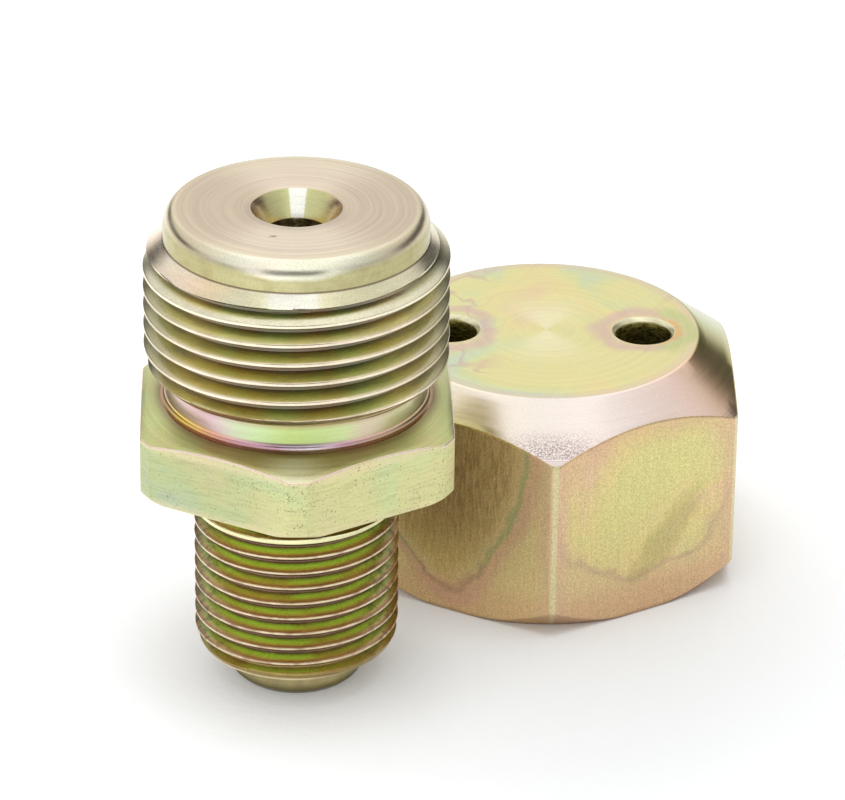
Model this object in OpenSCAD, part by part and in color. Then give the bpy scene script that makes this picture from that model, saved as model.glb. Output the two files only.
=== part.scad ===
// Vent cap fitting: a turned steel body and the hexagon cap that screws over its head.
// The body has a threaded spigot below, a hexagon in the middle, a threaded head above and
// a vent bore right through. The cap is shown taken off, standing on its mouth beside the body.
// Millimetres. The origin is the centre of the body's foot, +Z is up, -Y is the front.

/* [Spigot] */
// Major diameter of the spigot thread, M18
spigot_diameter = 18; // [15:0.5:22]
// Pitch of the spigot thread
spigot_pitch = 1.5; // [1:0.25:2]
// Length of the spigot from its end face to the hexagon
spigot_length = 17.5; // [12:0.1:30]
// Length of the plain undercut next to the hexagon
spigot_relief = 3; // [1.5:0.1:6]
// Diameter of the smooth pilot at the foot
pilot_diameter = 11.5; // [9:0.1:12.5]
// Length of the smooth pilot
pilot_length = 3.2; // [1:0.1:10]

/* [Hexagon] */
// Body hexagon across flats
hexagon_flats = 27; // [26.5:0.5:36]
// Diameter that the corners are turned down to, as a share of the full corner diameter
hexagon_turned = 0.97; // [0.94:0.01:0.99]
// Height of the hexagon, from the underside to the foot of the neck
hexagon_height = 6.6; // [4:0.1:16]
// Slope of the turned top of the hexagon, in degrees
hexagon_slope = 19; // [5:1:30]
// Turn of the hexagon about the axis, in degrees
hexagon_turn = 2.3; // [-30:0.1:30]

/* [Head] */
// Major diameter of the head thread, G 3/4
head_diameter = 26.4; // [24:0.1:26.8]
// Pitch of the head thread
head_pitch = 1.8; // [1.2:0.1:2.2]
// Length of the threaded part of the head
head_length = 12.2; // [8:0.1:20]
// Depth of the neck below the bottom of the head thread
neck_undercut = 0.75; // [0.2:0.05:2]
// Length of the plain neck
neck_length = 2.7; // [1.5:0.1:8]
// Height of the round-shouldered boss on top of the head
boss_height = 2.6; // [1:0.1:6]
// Width of the rounded shoulder between the boss and its flat face
boss_shoulder = 1.05; // [0.4:0.05:3]

/* [Vent bore] */
// Diameter of the bore through the body
bore_diameter = 5.2; // [3:0.1:7]
// Width of the conical seat around the mouth of the bore
seat_width = 1.3; // [0.4:0.1:2.5]
// Included angle of the conical seat, in degrees
seat_angle = 60; // [40:1:90]

/* [Cap] */
// Cap hexagon across flats
cap_flats = 34; // [33:0.5:46]
// Width of the narrow land turned on each corner of the cap
cap_land = 0.7; // [0.2:0.1:2]
// Thickness of the cap's roof
cap_roof = 2.7; // [1.5:0.1:8]
// Diameter of the flat face on top of the cap
cap_face = 28; // [25:0.1:31]
// Slope of the turned cone around the cap's face, in degrees
cap_slope = 37; // [25:1:50]
// Width of the turned 45 degree chamfer on the corners of the cap's foot
cap_foot_chamfer = 2.3; // [0.5:0.1:3]
// Diameter of the two vent holes
cap_vent = 5.1; // [3:0.1:6]
// Distance between the centres of the two vent holes
cap_vent_spacing = 17.8; // [13:0.1:18.4]
// Turn of the cap's hexagon about its own axis, in degrees
cap_turn = 2; // [-30:0.1:30]

/* [Fit] */
// Diametral clearance between the head thread and the cap thread
thread_clearance = 0.2; // [0.1:0.05:0.5]
// Diametral clearance between the head thread and the cap's mouth
mouth_clearance = 0.8; // [0.4:0.1:2]
// Free height over the boss inside the screwed-on cap, for the vent air
air_gap = 0.5; // [0.3:0.1:3]
// Free space between the body and the cap that stands beside it
cap_gap = 3.2; // [1:0.1:40]
// Direction in which the cap stands from the body, in degrees
cap_direction = 48; // [0:1:90]

/* [Hidden] */
round_steps = 96;
shoulder_steps = 6;
turn_steps = 30;

// Thread sections: width of the crest, width of the root and flank angle, which give the depth
head_crest = 0.17 * head_pitch;
head_root = 0.16 * head_pitch;
head_flank = 27.5;
head_depth = (head_pitch - head_crest - head_root) / 2 / tan(head_flank);
spigot_crest = spigot_pitch / 8;
spigot_root = spigot_pitch / 6;
spigot_flank = 30;
spigot_depth = (spigot_pitch - spigot_crest - spigot_root) / 2 / tan(spigot_flank);

// Share of its depth that the spigot groove loses in each turn where it runs out
spigot_fade = 0.35;

// Share of the boss's height that its rounded shoulder takes
shoulder_share = 0.62;

// Chamfers and broken edges
spigot_end_bevel = [0.55, 1.2];
spigot_top_bevel = 0.2;
pilot_edge = 0.5;
hexagon_edge = [0.55, 0.32];
head_bevel = 1.1;
lead_bevel = 1.5;
neck_fillet = 0.5;
boss_inset = 0.6;
cap_edge = 0.35;
mouth_bevel = 1.2;
cavity_edge = 0.4;

// How far a cut starts before, and runs past, the face that it opens
cut_past = 1;

// Radii of the body
spigot_r = spigot_diameter / 2;
spigot_core_r = spigot_r - spigot_depth;
relief_r = spigot_core_r - thread_clearance;
pilot_r = pilot_diameter / 2;
head_r = head_diameter / 2;
head_core_r = head_r - head_depth;
neck_r = head_core_r - neck_undercut;
boss_r = head_core_r - boss_inset;
face_r = boss_r - boss_shoulder;
corner_r = hexagon_flats / 2 / cos(30) * hexagon_turned;
ring_r = neck_r + neck_fillet;
bore_r = bore_diameter / 2;
seat_r = bore_r + seat_width;

// Levels of the body, from the foot up
end_z = pilot_length;
underside_z = end_z + spigot_length;
relief_z = underside_z - spigot_relief;
neck_z = underside_z + hexagon_height;
head_z = neck_z + neck_length;
boss_z = head_z + head_length;
top_z = boss_z + boss_height;
corner_z = neck_z - (corner_r - ring_r) * tan(hexagon_slope);

// Cap cavity: the mouth lands on the sloping top of the body's hexagon and the roof clears
// the boss, so that the cap's depth follows the body
cap_thread_r = head_r + thread_clearance / 2;
cap_core_r = cap_thread_r - head_depth;
cap_mouth_r = head_r + mouth_clearance / 2;
mouth_depth = neck_length - neck_fillet;
undercut_length = boss_height + 0.2;
undercut_r = cap_thread_r + thread_clearance;
landing_z = neck_z - (cap_mouth_r - ring_r) * tan(hexagon_slope);
cap_depth = top_z - landing_z + air_gap;

// Outside of the cap
cap_height = cap_depth + cap_roof;
cap_corner_r = norm([cap_flats / 2, cap_flats / 2 * tan(30) - cap_land / 2 / cos(30)]);
cap_face_r = cap_face / 2;
cap_foot_r = cap_corner_r - cap_foot_chamfer;
cap_vent_r = cap_vent / 2;

// Place of the cap beside the body, clear of the spigot and of the hexagon
cap_reach = min(cap_corner_r, cap_face_r + max(0, cap_height - underside_z) / tan(cap_slope));
cap_distance = max(corner_r + cap_reach, spigot_r + cap_corner_r) + cap_gap;
cap_x = cap_distance * cos(cap_direction);
cap_y = cap_distance * sin(cap_direction);

// Solid turned from a list of [radius, height] points
module turned(outline) {
    rotate_extrude($fn = round_steps) polygon(outline);
}

// Hexagonal bar with one corner at the front
module hexagon_bar(flats, height, turn) {
    rotate([0, 0, turn - 90]) cylinder(r = flats / 2 / cos(30), h = height, $fn = 6);
}

// Right-hand helical thread groove between two heights, which crosses the front at the given
// height. The section widens from the root to the crest line and on beyond it, until only half
// of the crest's width parts two turns, and then runs straight out, so that the groove opens
// cleanly into plain or free space. Above the height fade_from the groove runs out: it loses
// the share fade of its depth in each turn. It serves outside threads, where the crest radius
// is the larger one, and inside threads, where it is the smaller.
module thread_groove(root, crest, width, flank, pitch, low, high, front, fade = 0, fade_from = 0) {
    out = crest > root ? 1 : -1;
    half = width / 2;
    side = abs(crest - root) * tan(flank);
    land = pitch - width - 2 * side;
    edge = crest + out * land / 4 / tan(flank);
    free = edge + out * pitch / 3;
    open = half + side + land / 4;
    section = [[root, -half], [edge, -open], [free, -open], [free, open], [edge, open], [root, half]];
    count = len(section);
    steps = ceil((high - low) / pitch * turn_steps);
    points = [
        for (i = [0:steps], p = section)
            let (z = low + pitch * i / turn_steps, a = 360 * (z - front) / pitch - 90,
                r = p[0] + (crest - root) * fade * max(0, z - fade_from) / pitch)
                    [r * cos(a), r * sin(a), z + p[1]]
    ];
    sides = [
        for (i = [0:steps - 1], j = [0:count - 1])
            let (a = i * count + j, b = i * count + (j + 1) % count)
                each [[a, b, b + count], [a, b + count, a + count]]
    ];
    ends = [[for (j = [count - 1:-1:0]) j], [for (j = [0:count - 1]) steps * count + j]];
    faces = concat(sides, ends);
    polyhedron(points, out > 0 ? faces : [for (f = faces) [for (j = [len(f) - 1:-1:0]) f[j]]]);
}

// Body: spigot, hexagon and head turned in one piece, with both threads and the vent bore
module fitting_body() {
    color([0.80, 0.77, 0.48]) difference() {
        union() {
            spigot();
            hexagon();
            head();
        }
        spigot_thread();
        head_thread();
        vent_bore();
    }
}

// Pilot, spigot with its chamfered end and the undercut below the hexagon
module spigot() {
    turned([
        [0, 0], [pilot_r - pilot_edge, 0], [pilot_r, pilot_edge], [pilot_r, end_z],
        [spigot_r - spigot_end_bevel[0], end_z], [spigot_r, end_z + spigot_end_bevel[1]],
        [spigot_r, relief_z - spigot_top_bevel], [relief_r, relief_z],
        [relief_r, underside_z + pilot_edge], [0, underside_z + pilot_edge]
    ]);
}

module spigot_thread() {
    thread_groove(spigot_core_r, spigot_r, spigot_root, spigot_flank, spigot_pitch,
        end_z - spigot_pitch * 0.78, relief_z + spigot_pitch / 3, end_z + spigot_pitch * 0.76,
        spigot_fade, relief_z - spigot_pitch);
}

// Hexagon with turned corners, sloping top and lightly chamfered underside
module hexagon() {
    intersection() {
        translate([0, 0, underside_z]) hexagon_bar(hexagon_flats, hexagon_height, hexagon_turn);
        turned([
            [0, underside_z], [corner_r - hexagon_edge[0], underside_z],
            [corner_r, underside_z + hexagon_edge[1]], [corner_r, corner_z],
            [ring_r, neck_z], [0, neck_z]
        ]);
    }
}

// Neck with its filleted foot, threaded head with chamfered ends, and the round-shouldered boss
module head() {
    shoulder = boss_height * shoulder_share;
    turned([
        [0, neck_z - neck_fillet], [ring_r, neck_z - neck_fillet], [ring_r, neck_z],
        [neck_r + neck_fillet * 0.3, neck_z + neck_fillet * 0.3], [neck_r, neck_z + neck_fillet],
        [neck_r, head_z], [head_r - head_bevel, head_z], [head_r, head_z + head_bevel],
        [head_r, boss_z - lead_bevel], [boss_r, boss_z],
        for (a = [0:90 / shoulder_steps:90])
            [face_r + boss_shoulder * cos(a), top_z - shoulder + shoulder * sin(a)],
        [0, top_z]
    ]);
}

module head_thread() {
    thread_groove(head_core_r, head_r, head_root, head_flank, head_pitch,
        head_z - head_pitch * 0.42, boss_z + head_pitch / 5, head_z);
}

// Bore right through, with the conical seat on top
module vent_bore() {
    lip = seat_width / tan(seat_angle / 2);
    turned([
        [0, -cut_past], [bore_r, -cut_past], [bore_r, top_z - lip],
        [seat_r + cut_past * tan(seat_angle / 2), top_z + cut_past], [0, top_z + cut_past]
    ]);
}

// Cap: hexagon with a coned top, two vent holes and a threaded cavity
module vent_cap() {
    color([0.86, 0.78, 0.50]) translate([cap_x, cap_y, 0]) difference() {
        cap_blank();
        cap_cavity();
        cap_thread();
        for (side = [-1, 1]) translate([side * cap_vent_spacing / 2, 0, 0]) cap_vent_hole();
    }
}

// Hexagon with turned corners, coned above and chamfered at the foot
module cap_blank() {
    intersection() {
        hexagon_bar(cap_flats, cap_height, cap_turn);
        turned([
            [0, 0], [cap_foot_r, 0], [cap_corner_r, cap_foot_chamfer],
            [cap_corner_r, cap_height - (cap_corner_r - cap_face_r) * tan(cap_slope)],
            [cap_face_r, cap_height], [0, cap_height]
        ]);
    }
}

// Mouth recess, thread bore, and the run-out undercut below the roof
module cap_cavity() {
    turned([
        [0, -cut_past], [cap_mouth_r, -cut_past], [cap_mouth_r, mouth_depth],
        [cap_core_r, mouth_depth + mouth_bevel],
        [cap_core_r, cap_depth - undercut_length - mouth_bevel],
        [undercut_r, cap_depth - undercut_length],
        [undercut_r, cap_depth - cavity_edge], [undercut_r - cavity_edge, cap_depth],
        [0, cap_depth]
    ]);
}

module cap_thread() {
    thread_groove(cap_thread_r, cap_core_r, head_root, head_flank, head_pitch,
        mouth_depth - head_pitch * 0.4, cap_depth - undercut_length + head_pitch / 4,
        mouth_depth);
}

// Vent hole with a broken edge at the face
module cap_vent_hole() {
    turned([
        [0, cap_depth - cut_past], [cap_vent_r, cap_depth - cut_past],
        [cap_vent_r, cap_height - cap_edge], [cap_vent_r + cap_edge, cap_height],
        [cap_vent_r + cap_edge, cap_height + cut_past], [0, cap_height + cut_past]
    ]);
}

fitting_body();
vent_cap();
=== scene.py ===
import math

import bmesh
import bpy
import numpy as np
from mathutils import Matrix, Vector

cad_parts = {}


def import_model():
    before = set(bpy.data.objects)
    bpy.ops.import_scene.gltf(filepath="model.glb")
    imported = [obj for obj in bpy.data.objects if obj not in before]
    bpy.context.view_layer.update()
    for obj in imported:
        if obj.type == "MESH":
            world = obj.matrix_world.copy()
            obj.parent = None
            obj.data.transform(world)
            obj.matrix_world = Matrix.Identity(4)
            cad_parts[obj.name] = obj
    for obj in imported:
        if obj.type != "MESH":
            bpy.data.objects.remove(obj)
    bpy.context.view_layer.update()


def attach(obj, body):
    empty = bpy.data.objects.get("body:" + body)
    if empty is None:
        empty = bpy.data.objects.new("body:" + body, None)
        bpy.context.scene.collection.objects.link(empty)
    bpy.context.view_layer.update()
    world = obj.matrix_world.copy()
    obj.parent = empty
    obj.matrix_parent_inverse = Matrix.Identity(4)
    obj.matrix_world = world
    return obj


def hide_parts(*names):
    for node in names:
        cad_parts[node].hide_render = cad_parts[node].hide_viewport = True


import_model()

# Sizes, in millimetres and degrees
SPIGOT_R, SPIGOT_PITCH, SPIGOT_LENGTH, SPIGOT_RELIEF = 9.0, 1.5, 17.5, 3.0
SPIGOT_END_BEVEL, SPIGOT_TOP_BEVEL, SPIGOT_FADE = (0.55, 1.2), 0.2, 0.35
PILOT_R, PILOT_LENGTH, PILOT_EDGE = 5.75, 3.2, 0.5
HEX_FLATS, HEX_TURNED, HEX_HEIGHT, HEX_SLOPE, HEX_TURN = 27.0, 0.97, 6.6, 19.0, 2.3
HEAD_R, HEAD_PITCH, HEAD_LENGTH, HEAD_BEVEL, LEAD_BEVEL = 13.2, 1.8, 12.2, 1.1, 1.5
NECK_UNDERCUT, NECK_LENGTH, NECK_FILLET = 0.75, 2.7, 0.5
BOSS_HEIGHT, BOSS_SHOULDER, SHOULDER_SHARE = 2.6, 1.05, 0.62
BORE_R, SEAT_WIDTH, SEAT_ANGLE = 2.6, 1.3, 60.0
CAP_FLATS, CAP_LAND, CAP_ROOF, CAP_FACE_R, CAP_SLOPE = 34.0, 0.7, 2.7, 14.0, 37.0
CAP_FOOT_CHAMFER, CAP_VENT_R, CAP_VENT_X, CAP_TURN = 2.3, 2.55, 8.9, 2.0
CAP_GAP, CAP_DIRECTION = 3.2, 48.0


def tan(degrees):
    return math.tan(math.radians(degrees))


# Thread sections, as in the part: width of the root, flank angle and depth
HEAD_ROOT, HEAD_FLANK = 0.16 * HEAD_PITCH, 27.5
HEAD_DEPTH = (HEAD_PITCH - 0.17 * HEAD_PITCH - HEAD_ROOT) / 2 / tan(HEAD_FLANK)
SPIGOT_ROOT, SPIGOT_FLANK = SPIGOT_PITCH / 6, 30.0
SPIGOT_DEPTH = (SPIGOT_PITCH - SPIGOT_PITCH / 8 - SPIGOT_ROOT) / 2 / tan(SPIGOT_FLANK)

# Radii and levels of the body
spigot_core_r = SPIGOT_R - SPIGOT_DEPTH
relief_r = spigot_core_r - 0.2
head_core_r = HEAD_R - HEAD_DEPTH
neck_r = head_core_r - NECK_UNDERCUT
boss_r = head_core_r - 0.6
face_r = boss_r - BOSS_SHOULDER
corner_r = HEX_FLATS / 2 / math.cos(math.pi / 6) * HEX_TURNED
ring_r = neck_r + NECK_FILLET
seat_r = BORE_R + SEAT_WIDTH
end_z = PILOT_LENGTH
underside_z = end_z + SPIGOT_LENGTH
relief_z = underside_z - SPIGOT_RELIEF
neck_z = underside_z + HEX_HEIGHT
head_z = neck_z + NECK_LENGTH
boss_z = head_z + HEAD_LENGTH
top_z = boss_z + BOSS_HEIGHT
shoulder_h = BOSS_HEIGHT * SHOULDER_SHARE
spigot_front = end_z + SPIGOT_PITCH * 0.76

# Radii and levels of the cap, and its place
cap_thread_r = HEAD_R + 0.1
cap_core_r = cap_thread_r - HEAD_DEPTH
cap_mouth_r = HEAD_R + 0.4
mouth_depth = NECK_LENGTH - NECK_FILLET
undercut_length = BOSS_HEIGHT + 0.2
undercut_r = cap_thread_r + 0.2
cap_depth = top_z - (neck_z - (cap_mouth_r - ring_r) * tan(HEX_SLOPE)) + 0.5
cap_height = cap_depth + CAP_ROOF
cap_corner_r = math.hypot(CAP_FLATS / 2, CAP_FLATS / 2 * tan(30) - CAP_LAND / 2 / math.cos(math.pi / 6))
cap_foot_r = cap_corner_r - CAP_FOOT_CHAMFER
cap_reach = min(cap_corner_r, CAP_FACE_R + max(0, cap_height - underside_z) / tan(CAP_SLOPE))
cap_distance = max(corner_r + cap_reach, SPIGOT_R + cap_corner_r) + CAP_GAP
CAP_X = cap_distance * math.cos(math.radians(CAP_DIRECTION))
CAP_Y = cap_distance * math.sin(math.radians(CAP_DIRECTION))

# Width of the worn edge between two faces
EDGE = 0.13


# Mesh code
def columns(turn, near, step):
    """Angles from the front, in degrees, dense round the corners of a hexagon turned by turn."""
    side = [o for o in near if o > 0]
    first, last = side[-1], 60 - side[-1]
    count = int(round((last - first) / step))
    middle = [first + (last - first) * i / count for i in range(1, count)]
    sector = [0.0] + side + middle + [60 - o for o in reversed(side)]
    return np.sort(np.array([(turn + 60 * k + o) % 360 for k in range(6) for o in sector]))


def soft_min(a, b, k):
    h = np.maximum(k - np.abs(a - b), 0) / k
    return np.minimum(a, b) - h * h * k / 4


def soft_max(a, b, k):
    return -soft_min(-a, -b, k)


def groove_radius(z, angle, root, crest, width, flank, pitch, front, k, fade=0.0, fade_from=0.0):
    """Radius of a right-hand thread at heights z and angles from the front, with soft root and crest."""
    turns = (z - front) / pitch - angle / 360
    off = (turns - np.round(turns)) * pitch
    base = root + (crest - root) * fade * np.maximum(0, z - off - fade_from) / pitch
    rise = (np.abs(off) - width / 2) / tan(flank)
    level = np.full_like(rise, crest)
    if crest > root:
        return soft_min(soft_max(base + rise, base, k), level, k)
    return soft_max(soft_min(base - rise, base, k), level, k)


class Skin:
    """Grids and patches of one closed piece, in millimetres, each face with its material's number."""

    def __init__(self, angles, centre=(0.0, 0.0)):
        self.a = angles
        rad = np.radians(angles - 90)
        self.c, self.s = np.cos(rad), np.sin(rad)
        self.centre = centre
        self.points, self.faces, self.mats, self.count = [], [], [], 0

    def add(self, points, faces, mats):
        self.points.append(points)
        self.faces.extend((np.asarray(faces) + self.count).tolist())
        self.mats.extend(mats)
        self.count += len(points)

    def grid(self, r, z, mats, shift=0, flip=False):
        """Rows of rings. r and z are rows x columns; mats has one number for each step between rows."""
        rows, cols = r.shape
        p = np.stack([r * self.c + self.centre[0], r * self.s + self.centre[1], z], -1).reshape(-1, 3)
        i = np.arange(rows * cols).reshape(rows, cols)
        nxt = np.empty_like(i)
        nxt[:, :-1] = i[:, 1:]
        up = np.minimum(np.arange(rows) + shift, rows - 1)
        nxt[:, -1] = i[up, 0]
        quads = np.stack([i[:-1], nxt[:-1], nxt[1:], i[1:]], -1)
        if flip:
            quads = quads[..., ::-1]
        self.add(p, quads.reshape(-1, 4), np.repeat(np.broadcast_to(mats, rows - 1), cols).tolist())

    def turned(self, outline, mat, flip=False):
        """A turned surface. outline is a list of (radius, height), each a number or a ring of numbers."""
        ones = np.ones_like(self.a)
        r = np.stack([ones * o[0] for o in outline])
        z = np.stack([ones * o[1] for o in outline])
        self.grid(r, z, mat, flip=flip)

    def thread(self, low, high, envelope, levels, mat, pitch, front, radius, flip=False):
        """Rows that follow the helix, held between two heights, at the radius that radius(z, angle) gives."""
        k0 = math.floor((low - front) / pitch) - 2
        k1 = math.ceil((high - front) / pitch) + 1
        phase = np.array([k + v for k in range(k0, k1) for v in levels])
        z = front + pitch * (phase[:, None] + self.a[None, :] / 360)
        for kink in envelope:
            if low < kink < high:
                z[np.argmin(np.abs(z - kink), axis=0), np.arange(len(self.a))] = kink
        z = np.clip(z, low, high)
        self.grid(radius(z, np.broadcast_to(self.a, z.shape)), z, mat, shift=len(levels), flip=flip)

    def plate(self, z, outer_r, holes, mat, up=True):
        """A flat face at height z inside the ring of columns, with round holes (x, y, r, points)."""
        bm = bmesh.new()
        rings = [np.stack([outer_r * self.c, outer_r * self.s], -1)]
        for x, y, r, n in holes:
            t = np.arange(n) * 2 * math.pi / n
            rings.append(np.stack([x + r * np.cos(t), y + r * np.sin(t)], -1))
        edges = []
        for ring in rings:
            vs = [bm.verts.new((p[0], p[1], 0)) for p in ring]
            edges += [bm.edges.new((vs[i], vs[(i + 1) % len(vs)])) for i in range(len(vs))]
        bmesh.ops.triangle_fill(bm, use_beauty=True, edges=edges, normal=(0, 0, 1))
        bm.verts.index_update()
        p = np.array([v.co[:] for v in bm.verts]) + [self.centre[0], self.centre[1], z]
        faces = []
        for f in bm.faces:
            f.normal_update()
            ids = [v.index for v in f.verts]
            faces.append(ids if (f.normal.z > 0) == up else ids[::-1])
        bm.free()
        self.add(p, faces, [mat] * len(faces))

    def tube(self, x, y, outline, n, mat):
        """A turned hole about another axis, with rings of n points."""
        t = np.arange(n) * 2 * math.pi / n
        p = np.concatenate([
            np.stack([x + r * np.cos(t), y + r * np.sin(t), np.full(n, z)], -1) for r, z in outline])
        p += [self.centre[0], self.centre[1], 0]
        i = np.arange(len(outline) * n).reshape(len(outline), n)
        j = np.roll(i, -1, axis=1)
        quads = np.stack([i[:-1], j[:-1], j[1:], i[1:]], -1).reshape(-1, 4)
        self.add(p, quads, [mat] * len(quads))

    def build(self, name, materials):
        bm = bmesh.new()
        vs = [bm.verts.new(p) for p in (np.concatenate(self.points) * 0.001)]
        for f, m in zip(self.faces, self.mats):
            ids = list(dict.fromkeys(f))
            if len(ids) > 2:
                face = bm.faces.new([vs[i] for i in ids])
                face.material_index = m
                face.smooth = True
        bmesh.ops.remove_doubles(bm, verts=bm.verts, dist=2e-7)
        bmesh.ops.dissolve_degenerate(bm, edges=bm.edges, dist=1e-7)
        mesh = bpy.data.meshes.new(name)
        bm.to_mesh(mesh)
        loose = sum(1 for e in bm.edges if len(e.link_faces) != 2)
        bm.free()
        for m in materials:
            mesh.materials.append(m)
        mesh.set_sharp_from_angle(angle=math.radians(40))
        piece = bpy.data.objects.new(name, mesh)
        bpy.context.scene.collection.objects.link(piece)
        weigh = piece.modifiers.new("even_normals", "WEIGHTED_NORMAL")
        weigh.keep_sharp = True
        weigh.weight = 60
        print(name, "faces", len(mesh.polygons), "open edges", loose)
        return piece


def arc(r0, z0, radius, start, end, steps):
    """Points of an arc about (r0, z0), angles in degrees from +r towards +z."""
    return [(r0 + radius * math.cos(math.radians(a)), z0 + radius * math.sin(math.radians(a)))
            for a in np.linspace(start, end, steps)]


def between(p, q, steps):
    """Points after p up to and with q."""
    return [(p[0] + (q[0] - p[0]) * t, p[1] + (q[1] - p[1]) * t) for t in np.arange(1, steps + 1) / steps]


def hexagon_radius(angles, flats, turn, turned_r, k):
    off = np.abs((angles - turn) % 60 - 30)
    return soft_min(flats / 2 / np.cos(np.radians(off)), np.full_like(angles, turned_r), k)


# Materials
def lin(r, g, b):
    """A colour as the eye names it, 0 to 255, in the renderer's linear values."""
    return tuple((c / 12.92 if c <= 0.04045 else ((c + 0.055) / 1.055) ** 2.4)
                 for c in (r / 255, g / 255, b / 255)) + (1.0,)


class Nodes:
    """Short calls for a node tree. A value may be a number, a vector, a colour or another node's socket."""

    def __init__(self, tree):
        self.tree = tree
        tree.nodes.clear()

    def node(self, kind, inputs=None, **settings):
        n = self.tree.nodes.new(kind)
        for k, v in settings.items():
            setattr(n, k, v)
        for k, v in (inputs or {}).items():
            self.put(n.inputs[k], v)
        return n

    def put(self, socket, v):
        if isinstance(v, bpy.types.NodeSocket):
            self.tree.links.new(v, socket)
        else:
            socket.default_value = v

    def math(self, op, a, b=0.0, c=None, clamp=False):
        n = self.node("ShaderNodeMath", operation=op, use_clamp=clamp)
        self.put(n.inputs[0], a)
        self.put(n.inputs[1], b)
        if c is not None:
            self.put(n.inputs[2], c)
        return n.outputs[0]

    def vec(self, op, a, b=(0, 0, 0)):
        n = self.node("ShaderNodeVectorMath", operation=op)
        self.put(n.inputs[0], a)
        if op == "SCALE":
            self.put(n.inputs["Scale"], b)
        else:
            self.put(n.inputs[1], b)
        return n.outputs["Value"] if op in ("LENGTH", "DISTANCE", "DOT_PRODUCT") else n.outputs[0]

    def join(self, x, y, z=0.0):
        return self.node("ShaderNodeCombineXYZ", {"X": x, "Y": y, "Z": z}).outputs[0]

    def smooth(self, v, low, high, a=0.0, b=1.0):
        n = self.node("ShaderNodeMapRange", interpolation_type="SMOOTHSTEP")
        for k, x in zip(("Value", "From Min", "From Max", "To Min", "To Max"), (v, low, high, a, b)):
            self.put(n.inputs[k], x)
        return n.outputs[0]

    def noise(self, vector, scale, detail=2.0, rough=0.5, distortion=0.0):
        n = self.node("ShaderNodeTexNoise", {
            "Vector": vector, "Scale": scale, "Detail": detail, "Roughness": rough, "Distortion": distortion})
        return n.outputs["Fac"]

    def sway(self, vector, scale, amount, detail=2.0, rough=0.5, distortion=0.0):
        """Noise about zero that swings by the amount."""
        n = self.noise(vector, scale, detail, rough, distortion)
        return self.math("MULTIPLY", self.math("SUBTRACT", n, 0.5), amount * 2)

    def add(self, *terms):
        total = terms[0]
        for term in terms[1:]:
            total = self.math("ADD", total, term)
        return total

    def mix(self, t, a, b, blend="MIX"):
        n = self.node("ShaderNodeMix", data_type="RGBA", blend_type=blend)
        self.put(n.inputs["Factor"], t)
        self.put(n.inputs["A"], a)
        self.put(n.inputs["B"], b)
        return n.outputs["Result"]

    def ramp(self, v, stops):
        """Colour stops, each a place and a colour as the eye names it."""
        n = self.node("ShaderNodeValToRGB", {"Fac": v})
        e = n.color_ramp.elements
        while len(e) > 1:
            e.remove(e[-1])
        e[0].position, e[0].color = stops[0][0], lin(*stops[0][1])
        for place, colour in stops[1:]:
            e.new(place).color = lin(*colour)
        return n.outputs[0]


class Place:
    """Where a point of the skin lies, in millimetres about the piece's own axis, as sockets."""

    def __init__(self, t, centre):
        where = t.node("ShaderNodeTexCoord").outputs["Object"]
        self.mm = t.vec("SUBTRACT", t.vec("SCALE", where, 1000.0), (centre[0], centre[1], 0.0))
        self.x, self.y, self.z = t.node("ShaderNodeSeparateXYZ", {"Vector": self.mm}).outputs
        self.radius = t.vec("LENGTH", t.vec("MULTIPLY", self.mm, (1, 1, 0)))
        self.way = t.vec("NORMALIZE", t.vec("MULTIPLY", self.mm, (1, 1, 0)))
        angle = t.math("ARCTAN2", self.x, t.math("MULTIPLY", self.y, -1.0))
        self.side = t.math("DIVIDE", angle, math.pi)


def near(t, value, middle, width):
    """1 where the value is at the middle, falling to 0 at the width on both sides."""
    return t.smooth(t.math("ABSOLUTE", t.math("SUBTRACT", value, middle)), 0.0, width, 1.0, 0.0)


def round_about(t, p, line, length):
    """Noise place of a turned mark: line runs across the marks, and length sets how soon they change."""
    return t.vec("ADD", t.vec("SCALE", p.way, length), t.join(0.0, 0.0, line))


def sideways(t, p, low, high, amount=1.0):
    """0 at the front and back of the piece, rising to the amount at its left and right."""
    x = t.node("ShaderNodeSeparateXYZ", {"Vector": p.way}).outputs[0]
    return t.smooth(t.math("ABSOLUTE", x), low, high, 0.0, amount)


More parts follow.
